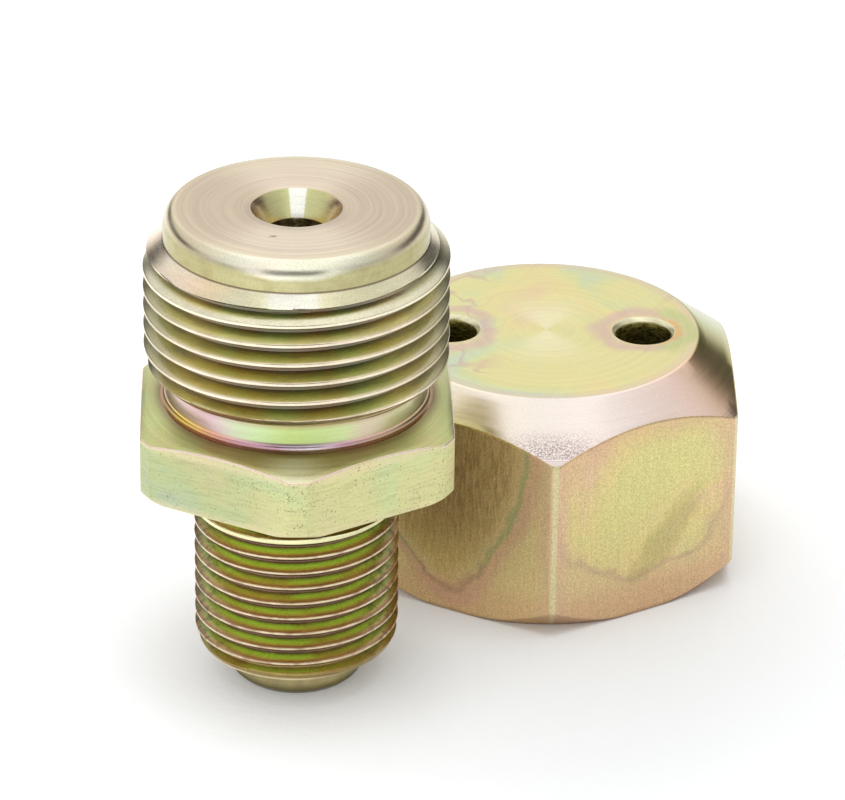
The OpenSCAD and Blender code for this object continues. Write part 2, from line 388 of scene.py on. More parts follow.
def zinc(name, paint, centre=(0.0, 0.0), rough=0.28, marks="turned", scale=2.5, depth=0.3, shade=0.12,
         grain=0.0, speck=0.10, pits=0.0, spread=0.0, along=1.3):
    """Passivated zinc on machined steel: paint gives its film colour together with painted light and shade,
    and the rest are the tool's marks.
    """
    m = bpy.data.materials.new(name)
    m.use_nodes = True
    t = Nodes(m.node_tree)
    p = Place(t, centre)
    colour = paint(t, p)
    wobble = t.noise(p.mm, 0.25, 1.0)
    if marks == "face":
        line = t.add(t.math("MULTIPLY", p.radius, scale), t.math("MULTIPLY", wobble, 1.2))
        grooves = t.noise(round_about(t, p, line, 0.41), 1.0, 4.0, 0.7)
    elif marks == "turned":
        line = t.add(t.math("MULTIPLY", p.z, scale), t.math("MULTIPLY", p.radius, scale * 0.6))
        grooves = t.noise(round_about(t, p, line, along), 1.0, 4.0, 0.7)
    else:
        drawn = t.vec("MULTIPLY", p.mm, (scale, scale, scale * 0.07))
        grooves = t.noise(drawn, 1.0, 4.0, 0.7)
    height = t.math("MULTIPLY", grooves, depth)
    tone = t.math("MULTIPLY", t.math("SUBTRACT", grooves, 0.5), shade * 4)
    if grain:
        fine = t.noise(p.mm, 7.0, 3.0, 0.75)
        height = t.add(height, t.math("MULTIPLY", fine, grain))
    if speck:
        tone = t.add(tone, t.sway(p.mm, 6.5, speck * 2, 2.0, 0.8))
    tone = t.math("ADD", tone, 1.0)
    colour = t.mix(1.0, colour, t.join(tone, tone, tone), "MULTIPLY")
    if pits:
        hole = t.add(t.noise(p.mm, 6.4, 1.0, 0.5), t.sway(p.mm, 0.30, 0.13))
        height = t.add(height, t.smooth(hole, 0.27, 0.32, -pits, 0.0))
        colour = t.mix(t.smooth(hole, 0.27, 0.32, 0.7, 0.0), colour, lin(112, 106, 70))
    bump = t.node("ShaderNodeBump", {"Height": height, "Strength": 1.0, "Distance": 0.00002})
    rough_map = t.add(rough, t.math("MULTIPLY", t.math("SUBTRACT", grooves, 0.5), 0.2))
    shader = t.node("ShaderNodeBsdfPrincipled", {
        "Base Color": colour, "Metallic": 1.0, "Roughness": rough_map, "Normal": bump.outputs[0]})
    if spread:
        round_way = t.join(t.math("MULTIPLY", p.y, -1.0), p.x)
        across = t.vec("CROSS_PRODUCT", round_way, t.node("ShaderNodeNewGeometry").outputs["Normal"])
        t.put(shader.inputs["Anisotropic"], spread)
        t.put(shader.inputs["Tangent"], across)
    out = t.node("ShaderNodeOutputMaterial")
    t.tree.links.new(shader.outputs[0], out.inputs["Surface"])
    return m


# Film colours of the body, with painted light and shade
def paint_foot(t, p):
    base = t.ramp(t.add(0.5, t.sway(p.mm, 0.4, 0.7)), [
        (0.2, (182, 168, 124)), (0.5, (194, 182, 132)), (0.8, (166, 148, 110))])
    # Painted shade: a dark line on the pilot just under the spigot's end face.
    line = near(t, p.z, end_z - 0.25, 0.35)
    base = t.mix(line, base, lin(92, 78, 58))
    # Painted contact shadow: the pilot darkens towards the floor.
    return t.mix(t.smooth(p.z, 0.45, 1.3, 0.85, 0.0), base, lin(104, 96, 66))


def paint_spigot(t, p):
    # Colour by thread depth: film colour, with the root darkened as painted shade in the groove.
    depth = t.math("DIVIDE", t.math("SUBTRACT", p.radius, spigot_core_r), SPIGOT_DEPTH)
    depth = t.add(depth, t.sway(p.mm, 0.9, 0.07))
    lime = t.ramp(depth, [
        (0.00, (112, 86, 72)), (0.08, (118, 98, 76)), (0.16, (162, 172, 100)), (0.36, (182, 200, 108)),
        (0.62, (188, 192, 108)), (0.74, (186, 156, 106)), (0.88, (160, 120, 92)), (0.96, (178, 148, 118)),
        (1.00, (230, 212, 180))])
    olive = t.ramp(depth, [
        (0.00, (120, 96, 80)), (0.12, (136, 120, 86)), (0.30, (174, 168, 100)), (0.64, (188, 174, 106)),
        (0.84, (178, 142, 106)), (0.95, (200, 172, 138)), (1.00, (228, 210, 176))])
    way = t.add(t.noise(p.mm, 0.16), t.math("MULTIPLY", t.math("ABSOLUTE", p.side), 0.35))
    base = t.mix(t.smooth(way, 0.56, 0.74), lime, olive)
    grey = t.math("ABSOLUTE", p.side)
    deep = t.smooth(depth, 0.55, 0.9, 0.6, 0.0)
    base = t.mix(t.math("MULTIPLY", t.smooth(grey, 0.22, 0.44), deep), base, lin(120, 118, 90))
    blot = t.smooth(t.noise(p.mm, 1.1, 3.0, 0.6), 0.50, 0.62, 0.0, 0.5)
    base = t.mix(t.math("MULTIPLY", t.smooth(grey, 0.18, 0.36), blot), base, lin(84, 80, 66))
    cone_r = t.math("MULTIPLY_ADD", t.math("SUBTRACT", p.z, end_z),
                    SPIGOT_END_BEVEL[0] / SPIGOT_END_BEVEL[1], SPIGOT_R - SPIGOT_END_BEVEL[0])
    on_cone = t.smooth(t.math("SUBTRACT", p.radius, cone_r), -0.16, -0.04)
    on_cone = t.math("MULTIPLY", on_cone, t.smooth(p.z, end_z + 1.05, end_z + 1.2, 1.0, 0.0))
    brown = t.ramp(t.add(0.5, t.sway(p.mm, 0.5, 0.6)), [
        (0.2, (150, 134, 76)), (0.5, (166, 146, 88)), (0.8, (156, 120, 84))])
    base = t.mix(t.smooth(p.z, end_z + 1.0, end_z + 1.6, 0.6, 0.0), base, brown)
    last = t.math("MULTIPLY", t.smooth(p.z, relief_z - 1.5, relief_z - 1.2), t.smooth(depth, 0.9, 0.97))
    base = t.mix(last, base, lin(230, 226, 178))
    pale = t.smooth(p.z, end_z + 0.06, end_z + 0.30, 0.95, 0.0)
    return t.mix(on_cone, base, t.mix(pale, brown, lin(250, 236, 196)))


def paint_undercut(t, p):
    # Painted shade: the undercut is dark next to the relief under the hexagon and lightens outward along the
    # underside.
    base = t.ramp(t.add(0.5, t.sway(p.mm, 0.2, 0.5)), [
        (0.2, (140, 128, 74)), (0.5, (156, 150, 84)), (0.8, (150, 128, 86))])
    return t.mix(t.smooth(p.radius, relief_r + 0.3, relief_r + 2.0), base, lin(196, 190, 138))


def paint_hexagon(t, p):
    drift = t.add(0.5, t.sway(p.mm, 0.13, 0.55, 3.0, 0.55, 0.5))
    base = t.ramp(drift, [
        (0.05, (212, 194, 174)), (0.24, (220, 212, 164)), (0.40, (218, 214, 156)), (0.54, (208, 216, 160)),
        (0.66, (202, 212, 180)), (0.78, (218, 204, 174)), (0.95, (220, 192, 172))])
    streak = t.noise(t.vec("MULTIPLY", p.mm, (0.5, 0.5, 5.0)), 1.0, 3.0, 0.6)
    base = t.mix(t.smooth(streak, 0.32, 0.54, 0.26, 0.0), base, lin(164, 156, 110))
    # Painted shade: the flats on the left are darker, where the floor beside them lies in shadow.
    x = t.node("ShaderNodeSeparateXYZ", {"Vector": p.way}).outputs[0]
    left = t.smooth(x, -0.45, 0.30, 0.9, 0.0)
    base = t.mix(1.0, base, t.mix(left, lin(255, 255, 255), lin(218, 222, 228)), "MULTIPLY")
    base = t.mix(0.10, base, lin(150, 160, 110))
    edge = t.add(near(t, p.z, underside_z, 0.9), near(t, p.z, neck_z - 1.1, 0.7))
    return t.mix(t.math("MULTIPLY", edge, 0.5, clamp=True), base, lin(226, 208, 170))


def paint_hexagon_edge(t, p):
    base = t.ramp(t.add(0.5, t.sway(p.mm, 0.3, 0.6)), [
        (0.2, (232, 216, 164)), (0.5, (244, 222, 206)), (0.8, (238, 212, 196))])
    return t.mix(t.smooth(p.z, underside_z + 1.0, underside_z + 1.6, 1.0, 0.0), base, lin(206, 200, 150))


def paint_shoulder(t, p):
    drift = t.add(0.5, t.sway(p.mm, 0.22, 0.5, 3.0, 0.6))
    base = t.ramp(drift, [
        (0.10, (208, 186, 150)), (0.30, (210, 202, 144)), (0.50, (202, 206, 142)), (0.70, (206, 212, 156)),
        (0.92, (216, 202, 168))])
    turned = t.math("ABSOLUTE", p.side)
    base = t.mix(t.smooth(turned, 0.10, 0.24, 0.85, 0.0), base, lin(206, 196, 142))
    # Painted shade: darker where the cone meets the neck under the head.
    foot = t.smooth(p.radius, ring_r + 0.1, ring_r + 1.0, 0.6, 0.0)
    base = t.mix(foot, base, lin(150, 126, 96))
    # Painted reflection: a bright patch at the front, where the cone mirrors the lit neck.
    front = t.math("MULTIPLY", near(t, p.side, 0.004, 0.09), t.smooth(p.radius, 12.0, 12.7))
    return t.mix(t.math("MULTIPLY", front, 0.95), base, lin(255, 255, 226))


def paint_neck(t, p):
    place = t.add(t.math("MULTIPLY_ADD", p.side, 1.0, 0.5), t.sway(p.mm, 0.18, 0.07))
    base = t.ramp(place, [
        (0.00, (204, 192, 160)), (0.14, (206, 182, 170)), (0.22, (212, 182, 182)), (0.29, (208, 180, 184)),
        (0.34, (196, 198, 172)), (0.40, (188, 206, 156)), (0.49, (180, 198, 126)), (0.56, (188, 206, 138)),
        (0.63, (196, 210, 152)), (0.70, (208, 192, 168)), (0.78, (200, 196, 154)), (1.00, (204, 192, 160))])
    ring = t.ramp(place, [
        (0.08, (194, 168, 130)), (0.18, (230, 196, 96)), (0.27, (224, 168, 128)), (0.36, (206, 158, 168)),
        (0.46, (192, 156, 168)), (0.53, (214, 202, 208)), (0.62, (202, 162, 176)), (0.72, (208, 174, 156)),
        (0.84, (194, 168, 130))])
    low = t.smooth(p.z, neck_z + 0.40, neck_z + 0.75, 1.0, 0.0)
    base = t.mix(low, base, ring)
    # Painted shade: a dark line low on the neck, at the front only.
    dark = t.math("MULTIPLY", near(t, p.z, neck_z + 0.55, 0.22), near(t, p.side, 0.0, 0.16))
    base = t.mix(t.math("MULTIPLY", dark, 0.85), base, lin(84, 58, 74))
    # Painted shade: darker brown just under the head thread, where it faces down.
    under = t.smooth(p.z, head_z - 0.9, head_z - 0.25, 0.0, 0.55)
    base = t.mix(under, base, lin(176, 132, 112))
    brown = t.smooth(p.radius, head_core_r - 0.6, head_core_r - 0.2, 0.0, 0.9)
    return t.mix(brown, base, lin(160, 124, 96))


def paint_head(t, p):
    # Colour by thread depth: film colour, with the root darkened as painted shade in the groove.
    depth = t.math("DIVIDE", t.math("SUBTRACT", p.radius, head_core_r), HEAD_DEPTH)
    depth = t.add(depth, t.sway(p.mm, 0.6, 0.06))
    base = t.ramp(depth, [
        (0.00, (120, 100, 80)), (0.10, (132, 114, 84)), (0.24, (160, 146, 94)), (0.50, (176, 166, 108)),
        (0.74, (192, 184, 134)), (0.92, (208, 198, 158)), (0.97, (228, 212, 186)), (1.00, (244, 228, 204))])
    green = t.ramp(depth, [
        (0.00, (106, 102, 82)), (0.12, (126, 126, 88)), (0.34, (154, 158, 106)), (0.60, (176, 180, 126)),
        (0.90, (204, 202, 160)), (0.97, (226, 212, 182)), (1.00, (242, 228, 202))])
    base = t.mix(t.smooth(t.noise(p.mm, 0.15, 3.0, 0.6), 0.44, 0.62), base, green)
    line = round_about(t, p, t.math("MULTIPLY", p.z, 5.0), 2.8)
    streak = t.smooth(t.noise(line, 1.0, 3.0, 0.7), 0.46, 0.64)
    sides = t.smooth(t.math("ABSOLUTE", p.side), 0.10, 0.36, 0.4, 1.0)
    deep = t.smooth(depth, 0.30, 0.9, 0.85, 0.0)
    base = t.mix(t.math("MULTIPLY", t.math("MULTIPLY", sides, deep), streak), base, lin(104, 110, 114))
    # Painted light: the threads grow paler towards the left and right, then darker again at the outline.
    base = t.mix(sideways(t, p, 0.3, 0.9, 0.3), base, lin(226, 212, 170))
    base = t.mix(sideways(t, p, 0.68, 0.90, 0.26), base, lin(104, 96, 70))
    # Painted shade: the crests grow dimmer towards the sides.
    edge = t.smooth(t.math("ABSOLUTE", p.side), 0.26, 0.46, 0.0, 0.45)
    base = t.mix(t.math("MULTIPLY", edge, t.smooth(depth, 0.90, 0.97)), base, lin(170, 160, 126))
    cone_r = t.math("MULTIPLY_ADD", t.math("SUBTRACT", boss_z, p.z), (HEAD_R - boss_r) / LEAD_BEVEL, boss_r)
    on_cone = t.smooth(t.math("SUBTRACT", p.radius, cone_r), -0.14, -0.04)
    on_cone = t.math("MULTIPLY", on_cone, t.smooth(p.z, boss_z - LEAD_BEVEL, boss_z - LEAD_BEVEL + 0.2))
    # Painted light: the upper flanks near the lead are paler, as no thread above shades them.
    top = t.math("MULTIPLY", t.smooth(p.z, boss_z - 3.4, boss_z - 2.6), t.smooth(depth, 0.2, 0.7, 0.0, 0.8))
    base = t.mix(top, base, lin(238, 232, 204))
    pale = t.ramp(t.add(0.5, t.sway(p.mm, 0.14, 0.6), t.math("MULTIPLY", p.x, 0.022)), [
        (0.1, (252, 226, 206)), (0.3, (246, 226, 200)), (0.5, (240, 236, 216)), (0.75, (238, 234, 200)),
        (0.9, (244, 230, 200))])
    # Painted light on the lead chamfer: dimmer towards the sides, and near white as a painted highlight at
    # the front.
    turned = t.math("ABSOLUTE", p.side)
    dull = t.mix(1.0, pale, lin(238, 236, 218), "MULTIPLY")
    pale = t.mix(t.smooth(turned, 0.18, 0.30, 0.9, 0.0), pale, dull)
    pale = t.mix(t.smooth(turned, 0.04, 0.075, 0.85, 0.0), pale, lin(242, 240, 228))
    base = t.mix(on_cone, base, pale)
    # Painted shade: a dark line in the crease where the boss meets the lead chamfer.
    base = t.mix(t.math("MULTIPLY", near(t, p.z, boss_z, 0.12), 0.8), base, lin(96, 70, 58))
    return t.mix(t.smooth(p.z, head_z + 0.05, head_z + 0.5, 0.7, 0.0), base, lin(168, 148, 98))


def paint_boss(t, p):
    base = t.ramp(t.add(0.5, t.sway(p.mm, 0.16, 0.5)), [
        (0.15, (244, 232, 214)), (0.45, (246, 240, 220)), (0.70, (238, 238, 212)), (0.90, (242, 228, 208))])
    # Painted shade: the shoulder is darker towards the sides.
    base = t.mix(sideways(t, p, 0.3, 0.9), base, lin(216, 202, 172))
    wall = t.ramp(t.add(0.5, t.sway(p.mm, 0.30, 0.7, 3.0, 0.6)), [
        (0.20, (160, 150, 100)), (0.50, (186, 180, 132)), (0.80, (168, 156, 108))])
    # Painted highlight: the pale upper shoulder reaches lower at the front, and the wall below is darker,
    # more so at the sides.
    turned = t.math("ABSOLUTE", p.side)
    wall = t.mix(t.smooth(turned, 0.05, 0.25, 0.0, 0.3), wall, lin(150, 142, 92))
    height = t.math("SUBTRACT", p.z, sideways(t, p, 0.12, 0.5, 0.55))
    low = t.smooth(height, top_z - shoulder_h - 0.1, top_z - shoulder_h + 0.5, 0.95, 0.0)
    base = t.mix(low, base, wall)
    # Painted shade: a dark line in the crease at the boss's foot.
    line = t.math("MULTIPLY", near(t, p.z, boss_z, 0.14), 0.9)
    return t.mix(line, base, lin(84, 62, 48))


def paint_face(t, p):
    base = t.ramp(t.add(0.5, t.sway(p.mm, 0.10, 0.5)), [
        (0.2, (228, 208, 188)), (0.5, (230, 214, 192)), (0.8, (228, 216, 188))])
    rim = t.smooth(p.radius, face_r - 2.2, face_r, 0.0, 0.45)
    base = t.mix(rim, base, lin(230, 218, 184))
    # Painted shade: the face is darker to the left and right, leaving the front and back brighter like a
    # turned face's highlight.
    base = t.mix(sideways(t, p, 0.35, 0.95), base, lin(208, 190, 166))
    scratch = t.vec("DISTANCE", t.vec("MULTIPLY", p.mm, (1.0, 2.2, 0.0)), (-1.8, -12.9, 0.0))
    scratch = t.add(scratch, t.sway(p.mm, 3.0, 0.5))
    return t.mix(t.smooth(scratch, 0.15, 0.5, 0.7, 0.0), base, lin(120, 110, 96))


def paint_seat(t, p):
    turned = t.math("ABSOLUTE", p.side)
    place = t.add(turned, t.sway(p.mm, 0.5, 0.06))
    base = t.ramp(place, [
        (0.10, (160, 146, 110)), (0.30, (180, 146, 124)), (0.50, (202, 162, 138)), (0.66, (216, 192, 154)),
        (0.80, (206, 204, 148)), (1.00, (212, 212, 158))])
    # Painted highlight: a white streak down the back wall of the seat.
    white = t.smooth(turned, 0.925, 0.945)
    return t.mix(white, base, lin(250, 250, 238))


def paint_bore(t, p):
    speckle = t.noise(t.vec("MULTIPLY", p.mm, (1.6, 1.6, 5.0)), 1.0, 3.0, 0.7)
    base = t.mix(t.smooth(speckle, 0.35, 0.65), lin(86, 78, 56), lin(164, 152, 108))
    # Painted shade: the bore goes dark further down inside.
    return t.mix(t.smooth(p.z, 37.0, 41.0, 0.85, 0.0), base, lin(40, 34, 22))


# Film colours of the cap, with painted light and shade
def paint_cap_face(t, p):
    drift = t.add(0.46, t.sway(p.mm, 0.085, 0.56, 2.0, 0.5, 0.7))
    base = t.ramp(drift, [
        (0.10, (232, 202, 182)), (0.24, (232, 212, 164)), (0.38, (234, 220, 158)), (0.50, (228, 222, 160)),
        (0.58, (216, 220, 170)), (0.66, (206, 216, 186)), (0.74, (220, 220, 166)), (0.90, (232, 214, 162))])
    # Painted highlight: a brighter glint round the middle, at the front and back.
    ahead = t.math("SUBTRACT", 1.0, sideways(t, p, 0.3, 0.9))
    painted_glint = t.math("MULTIPLY", t.smooth(p.radius, 1.5, 8.5, 0.8, 0.0), ahead)
    base = t.mix(painted_glint, base, lin(242, 234, 194))
    contour = near(t, t.noise(p.mm, 0.10, 2.0, 0.55, 0.8), 0.52, 0.018)
    contour = t.math("MULTIPLY", contour, t.smooth(p.x, -7.0, -3.0, 0.45, 0.0))
    base = t.mix(contour, base, lin(206, 160, 166))
    base = t.mix(t.smooth(p.radius, CAP_FACE_R - 1.6, CAP_FACE_R, 0.0, 0.55), base, lin(228, 200, 186))
    for side in (-1, 1):
        off = t.vec("MULTIPLY", t.vec("SUBTRACT", p.mm, (side * CAP_VENT_X, 0, 0)), (1, 1, 0))
        d = t.add(t.vec("LENGTH", off), t.sway(p.mm, 0.22, 1.6))
        outer = near(t, d, CAP_VENT_R + 1.1, 1.5)
        base = t.mix(t.math("MULTIPLY", outer, 0.55), base, lin(212, 168, 178))
        away = t.vec("DOT_PRODUCT", off, (side, 0.0, 0.0))
        beyond = t.smooth(away, 0.5, 2.5)
        lime = t.math("MULTIPLY", near(t, d, CAP_VENT_R + 1.4, 1.4), beyond)
        base = t.mix(t.math("MULTIPLY", lime, 0.75), base, lin(200, 214, 136))
        core = t.math("MULTIPLY", t.smooth(d, CAP_VENT_R + 0.3, CAP_VENT_R + 0.9, 0.9, 0.0), beyond)
        base = t.mix(core, base, lin(224, 184, 120))
    return base


def paint_cap_cone(t, p):
    place = t.add(t.math("MULTIPLY_ADD", p.side, 0.5, 0.5), t.sway(p.mm, 0.09, 0.03))
    base = t.ramp(place, [
        (0.00, (208, 208, 178)), (0.22, (222, 206, 176)), (0.34, (255, 246, 212)), (0.42, (250, 238, 218)),
        (0.50, (236, 226, 216)), (0.56, (246, 232, 224)), (0.63, (252, 224, 210)), (0.68, (248, 210, 172)),
        (0.72, (196, 180, 112)), (0.78, (186, 188, 128)), (0.90, (208, 208, 178))])
    off = t.math("PINGPONG", t.math("SUBTRACT", t.math("MULTIPLY", p.side, 180.0), CAP_TURN), 30.0)
    corner = t.smooth(t.add(off, t.sway(p.mm, 0.5, 2.0)), 7.0, 19.0, 1.0, 0.0)
    band = t.math("MULTIPLY", t.smooth(p.radius, 16.0, 18.2), t.smooth(p.radius, 18.6, 18.9, 1.0, 0.0))
    frost = t.math("MULTIPLY", t.math("MULTIPLY", corner, band), near(t, p.side, 0.0, 0.16))
    dots = t.smooth(t.noise(p.mm, 7.0, 2.0, 0.7), 0.40, 0.60, 1.0, 0.0)
    base = t.mix(t.math("MULTIPLY", t.math("MULTIPLY", frost, dots), 0.85), base, lin(150, 126, 134))
    line = t.smooth(t.noise(t.join(t.math("MULTIPLY", p.radius, 9.0), 0.0), 1.0, 1.0), 0.40, 0.60, 0.5, 0.0)
    tip = t.math("MULTIPLY", t.smooth(p.radius, 18.5, 18.9), line)
    return t.mix(tip, base, lin(160, 140, 140))


def face_frame(t, p, degrees):
    """Place along the cap's face that looks this way, in millimetres from its middle."""
    a = math.radians(degrees)
    return t.vec("DOT_PRODUCT", p.mm, (math.cos(a), math.sin(a), 0.0))


def film_and_shade_left(t, p, base):
    """Left front face: film colour with a dull olive field, darkened as painted shade from the body beside
    it, inside a green line, with pink and gold outside it.
    """
    along = t.add(face_frame(t, p, CAP_TURN - 30), -0.7)
    rise = t.add(p.z, -2.2)
    bend = t.math("MULTIPLY", t.math("POWER", t.math("MINIMUM", along, 0.0), 2.0), 0.11)
    bottom = t.math("SUBTRACT", rise, bend)
    slant = t.math("DIVIDE", t.math("SUBTRACT", rise, t.math("MULTIPLY", along, 1.9)), 2.15)
    d = t.math("SMOOTH_MIN", t.math("SMOOTH_MIN", bottom, slant, 4.0), t.math("SUBTRACT", 5.6, along), 1.5)
    d = t.add(d, 0.5, t.sway(p.mm, 0.20, 1.2, 2.0, 0.5), t.sway(p.mm, 0.9, 0.42, 3.0, 0.6))
    streak = t.noise(t.vec("MULTIPLY", p.mm, (4.0, 4.0, 0.6)), 1.0, 4.0, 0.7)
    # Painted shade: the field's darker olive stands for the body's shadow and reflection on this face.
    dull = t.mix(t.smooth(streak, 0.34, 0.62), lin(184, 154, 102), lin(222, 194, 132))
    dull = t.mix(t.smooth(p.z, 3.0, 14.0, 0.6, 0.0), dull, lin(222, 200, 128))
    base = t.mix(0.4, base, lin(226, 190, 142))
    base = t.mix(t.smooth(d, -0.3, 2.6, 0.0, 0.95), base, dull)
    pink = near(t, d, -0.7, 1.3)
    base = t.mix(t.math("MULTIPLY", pink, 0.5), base, lin(216, 164, 144))
    line = t.mix(t.smooth(p.z, 4.0, 7.0), lin(184, 140, 120), lin(160, 174, 118))
    return t.mix(t.math("MULTIPLY", near(t, d, 0.1, 0.5), 0.62), base, line)


def stained_right(t, p, base):
    """Right front face: a green-gold field inside a faint purple line, and an olive stain."""
    along = face_frame(t, p, CAP_TURN + 30)
    a = t.math("DIVIDE", along, 9.3)
    b = t.math("DIVIDE", t.add(p.z, -11.5), 7.4)
    d = t.add(t.math("SQRT", t.add(t.math("MULTIPLY", a, a), t.math("MULTIPLY", b, b))), -1.0,
              t.sway(p.mm, 0.22, 0.26, 4.0, 0.6))
    base = t.mix(t.smooth(d, -0.8, -0.1, 0.35, 0.0), base, lin(218, 212, 146))
    base = t.mix(t.smooth(d, -0.25, 0.15, 0.0, 0.5), base, lin(216, 178, 150))
    line = t.math("MULTIPLY", near(t, d, 0.0, 0.09), t.smooth(p.z, 8.0, 12.0, 0.38, 0.0))
    base = t.mix(line, base, lin(176, 144, 134))
    c = t.math("DIVIDE", t.add(along, t.math("MULTIPLY", p.z, -0.75), 3.2), 2.2)
    e = t.math("DIVIDE", t.add(p.z, -7.2), 4.2)
    stain = t.add(t.math("MULTIPLY", c, c), t.math("MULTIPLY", e, e), t.sway(p.mm, 0.6, 0.9, 4.0, 0.7))
    return t.mix(t.smooth(stain, 0.0, 1.6, 0.45, 0.0), base, lin(170, 160, 100))


def paint_cap_side(t, p):
    stretched = t.vec("MULTIPLY", p.mm, (1.0, 1.0, 0.75))
    drift = t.add(0.5, t.sway(stretched, 0.075, 0.74, 3.0, 0.6, 0.8))
    base = t.ramp(drift, [
        (0.05, (222, 188, 160)), (0.20, (224, 198, 146)), (0.36, (222, 206, 142)), (0.50, (216, 208, 144)),
        (0.62, (222, 204, 144)), (0.76, (224, 194, 156)), (0.92, (218, 202, 146))])
    rim = t.add(t.smooth(p.z, 2.2, 4.6, 0.7, 0.0), t.smooth(p.z, 15.5, 18.8, 0.0, 0.35))
    base = t.mix(rim, base, lin(214, 178, 136))
    degrees = t.math("SUBTRACT", t.math("MULTIPLY", p.side, 180.0), CAP_TURN)
    off = t.math("PINGPONG", degrees, 30.0)
    left = t.math("MULTIPLY", t.smooth(degrees, -61.0, -60.0), t.smooth(degrees, -1.0, -0.6, 1.0, 0.0))
    right = t.math("MULTIPLY", t.smooth(degrees, 60.0, 61.0, 1.0, 0.0), t.smooth(degrees, 0.6, 1.0))
    base = t.mix(right, base, stained_right(t, p, base))
    base = t.mix(left, base, film_and_shade_left(t, p, base))
    base = t.mix(t.smooth(off, 1.0, 6.0, 0.45, 0.0), base, lin(214, 180, 152))
    base = t.mix(t.smooth(off, 0.50, 1.0, 0.7, 0.0), base, lin(222, 214, 170))
    # Painted contact shadow: the sides darken at the foot.
    return t.mix(t.smooth(p.z, 0.0, 0.5, 0.6, 0.0), base, lin(150, 118, 92))


def paint_vent(t, p):
    streak = t.noise(t.vec("MULTIPLY", p.mm, (1.6, 1.6, 5.0)), 1.0, 3.0, 0.7)
    base = t.mix(t.smooth(streak, 0.38, 0.62), lin(120, 112, 62), lin(216, 206, 132))
    return t.mix(t.smooth(p.z, cap_height - 0.60, cap_height - 0.35), base, lin(238, 232, 196))


def paint_cavity(t, p):
    return t.ramp(t.add(0.5, t.sway(p.mm, 0.12, 0.5)), [
        (0.2, (150, 132, 88)), (0.5, (166, 154, 96)), (0.8, (160, 146, 112))])


# Camera
BACK = Vector((0, -math.cos(math.radians(27.166)), math.sin(math.radians(27.166))))
camera = bpy.data.objects.new("camera", bpy.data.cameras.new("camera"))
camera.data.sensor_fit = "HORIZONTAL"
camera.data.sensor_width = 36.0
camera.data.lens = 5000 / 845 * 36
camera.data.clip_start, camera.data.clip_end = 0.02, 5.0
turn = BACK.to_track_quat("Z", "Y").to_matrix().to_4x4()
camera.matrix_world = (
    Matrix.Translation(Vector((0.010925, 0, 0.026522)) + BACK * (5.0 / 11.529))
    @ turn @ Matrix.Rotation(math.radians(0.743), 4, "Z"))
bpy.context.scene.collection.objects.link(camera)
bpy.context.scene.camera = camera


# Body
def spigot_radius(z, angle):
    env = np.interp(z, [end_z, end_z + SPIGOT_END_BEVEL[1], relief_z - SPIGOT_TOP_BEVEL, relief_z],
                    [SPIGOT_R - SPIGOT_END_BEVEL[0], SPIGOT_R, SPIGOT_R, relief_r])
    groove = groove_radius(z, angle, spigot_core_r, SPIGOT_R, SPIGOT_ROOT, SPIGOT_FLANK, SPIGOT_PITCH,
                           spigot_front, 0.08, SPIGOT_FADE, relief_z - SPIGOT_PITCH)
    return np.minimum(env, groove)


def head_radius(z, angle):
    env = np.interp(z, [head_z, head_z + HEAD_BEVEL, boss_z - LEAD_BEVEL, boss_z],
                    [HEAD_R - HEAD_BEVEL, HEAD_R, HEAD_R, boss_r])
    groove = groove_radius(z, angle, head_core_r, HEAD_R, HEAD_ROOT, HEAD_FLANK, HEAD_PITCH, head_z, 0.09)
    return np.minimum(env, groove)


def groove_levels(width, depth, flank, pitch, edge):
    """Rows of one thread turn, as shares of the pitch from the groove's middle."""
    half = width / 2
    rise = depth * tan(flank)
    up = [0, half - edge / 2, half + edge / 2] + [half + rise * k for k in (0.2, 0.4, 0.6, 0.8)]
    up += [half + rise - edge, half + rise - edge / 3, half + rise + edge / 3]
    return [v / pitch for v in up] + [0.5] + [1 - v / pitch for v in reversed(up[1:])]


